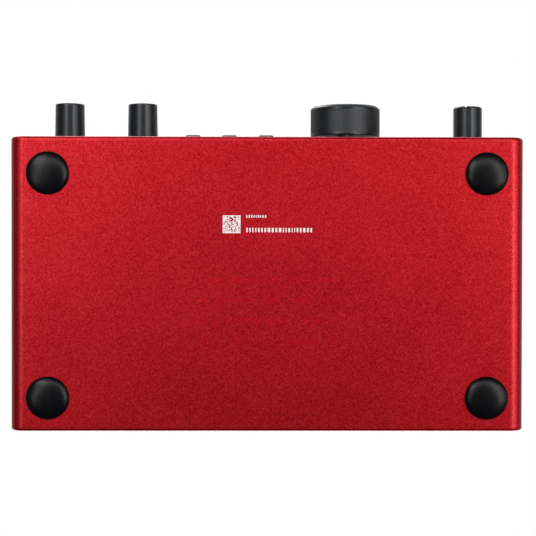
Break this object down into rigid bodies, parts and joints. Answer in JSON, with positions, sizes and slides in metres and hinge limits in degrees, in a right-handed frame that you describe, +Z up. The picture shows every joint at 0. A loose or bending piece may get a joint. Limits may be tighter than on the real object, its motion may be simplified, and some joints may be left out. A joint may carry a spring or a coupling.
{
  "type": "audio interface",
  "caption": "Desktop audio interface in a red anodised aluminium sleeve, with gain, output and headphone knobs, push buttons, and microphone, line, instrument and USB sockets.",
  "frame": {"origin": "centre of the footprint, on the surface that the feet stand on", "axes": "+Z up, the front panel faces -Y, +X to the right of someone facing the front panel"},
  "size_m": [0.18, 0.1174, 0.0475],
  "materials": {
    "red_anodised": "bead-blasted and anodised red",
    "gloss_black": "gloss",
    "satin_black": "satin powder coat",
    "rubber": "smooth",
    "knob_black": "satin soft-touch",
    "moulded_black": "moulded",
    "diffuser": "frosted",
    "board_green": "solder mask",
    "nickel": "nickel plated",
    "steel": "bright",
    "black_steel": "black zinc"
  },
  "bodies": {
    "housing": {"enclosure_sleeve": "red_anodised", "front_panel": "gloss_black", "rear_panel": "satin_black", "foot_front_left": "rubber", "foot_front_right": "rubber", "foot_rear_left": "rubber", "foot_rear_right": "rubber", "input_jack_1": "moulded_black", "input_jack_2": "moulded_black", "headphone_jack": "moulded_black", "line_out_jack_left": "moulded_black", "line_out_jack_right": "moulded_black", "mic_insert_1": "moulded_black", "mic_insert_2": "moulded_black", "gain_encoder_1": "moulded_black", "gain_encoder_2": "moulded_black", "output_potentiometer": "moulded_black", "headphone_potentiometer": "moulded_black", "board_connector": "moulded_black", "usb_processor": "moulded_black", "audio_converter": "moulded_black", "gain_light_ring_1": "diffuser", "gain_light_ring_2": "diffuser", "output_light_ring": "diffuser", "indicator_light_guide": "diffuser", "main_board": "board_green", "front_board": "board_green", "input_jack_nut_1": "nickel", "input_jack_nut_2": "nickel", "headphone_jack_nut": "nickel", "line_out_nut_left": "nickel", "line_out_nut_right": "nickel", "usb_data_port": "steel", "usb_power_port": "steel", "mic_socket_1": "black_steel", "mic_socket_2": "black_steel", "mic_socket_screw_1": "black_steel", "mic_socket_screw_2": "black_steel", "mic_socket_screw_3": "black_steel", "mic_socket_screw_4": "black_steel", "rear_panel_screw_1": "black_steel", "rear_panel_screw_2": "black_steel", "rear_panel_screw_3": "black_steel", "rear_panel_screw_4": "black_steel"},
    "gain_1": {"gain_knob_1": "knob_black", "gain_shaft_1": "steel"},
    "gain_2": {"gain_knob_2": "knob_black", "gain_shaft_2": "steel"},
    "output": {"output_knob": "knob_black", "output_shaft": "steel"},
    "headphone": {"headphone_knob": "knob_black", "headphone_shaft": "steel"},
    "key_1": {"button_1": "rubber"},
    "key_2": {"button_2": "rubber"},
    "key_3": {"button_3": "rubber"},
    "key_4": {"button_4": "rubber"},
    "key_5": {"button_5": "rubber"},
    "key_6": {"button_6": "rubber"},
    "latch_1": {"mic_latch_1": "nickel"},
    "latch_2": {"mic_latch_2": "nickel"}
  },
  "joints": [
    {"name": "gain_turn_1", "type": "hinge", "parent": "housing", "child": "gain_1", "pos_m": [-0.0733, -0.04345, 0.0355], "axis": [0, 1, 0], "continuous": true},
    {"name": "gain_turn_2", "type": "hinge", "parent": "housing", "child": "gain_2", "pos_m": [-0.0462, -0.04345, 0.0355], "axis": [0, 1, 0], "continuous": true},
    {"name": "output_turn", "type": "hinge", "parent": "housing", "child": "output", "pos_m": [0.0285, -0.04345, 0.025], "axis": [0, 1, 0], "range_deg": [-150, 150]},
    {"name": "headphone_turn", "type": "hinge", "parent": "housing", "child": "headphone", "pos_m": [0.075, -0.04345, 0.0355], "axis": [0, 1, 0], "range_deg": [0, 300]},
    {"name": "button_press_1", "type": "slide", "parent": "housing", "child": "key_1", "axis": [0, 1, 0], "range_m": [0, 0.0006], "stiffness_N_per_m": 800},
    {"name": "button_press_2", "type": "slide", "parent": "housing", "child": "key_2", "axis": [0, 1, 0], "range_m": [0, 0.0006], "stiffness_N_per_m": 800},
    {"name": "button_press_3", "type": "slide", "parent": "housing", "child": "key_3", "axis": [0, 1, 0], "range_m": [0, 0.0006], "stiffness_N_per_m": 800},
    {"name": "button_press_4", "type": "slide", "parent": "housing", "child": "key_4", "axis": [0, 1, 0], "range_m": [0, 0.0006], "stiffness_N_per_m": 800},
    {"name": "button_press_5", "type": "slide", "parent": "housing", "child": "key_5", "axis": [0, 1, 0], "range_m": [0, 0.0006], "stiffness_N_per_m": 800},
    {"name": "button_press_6", "type": "slide", "parent": "housing", "child": "key_6", "axis": [0, 1, 0], "range_m": [0, 0.0006], "stiffness_N_per_m": 800},
    {"name": "mic_latch_press_1", "type": "slide", "parent": "housing", "child": "latch_1", "axis": [0, -1, 0], "range_m": [0, 0.0012], "stiffness_N_per_m": 1500},
    {"name": "mic_latch_press_2", "type": "slide", "parent": "housing", "child": "latch_2", "axis": [0, -1, 0], "range_m": [0, 0.0012], "stiffness_N_per_m": 1500}
  ]
}
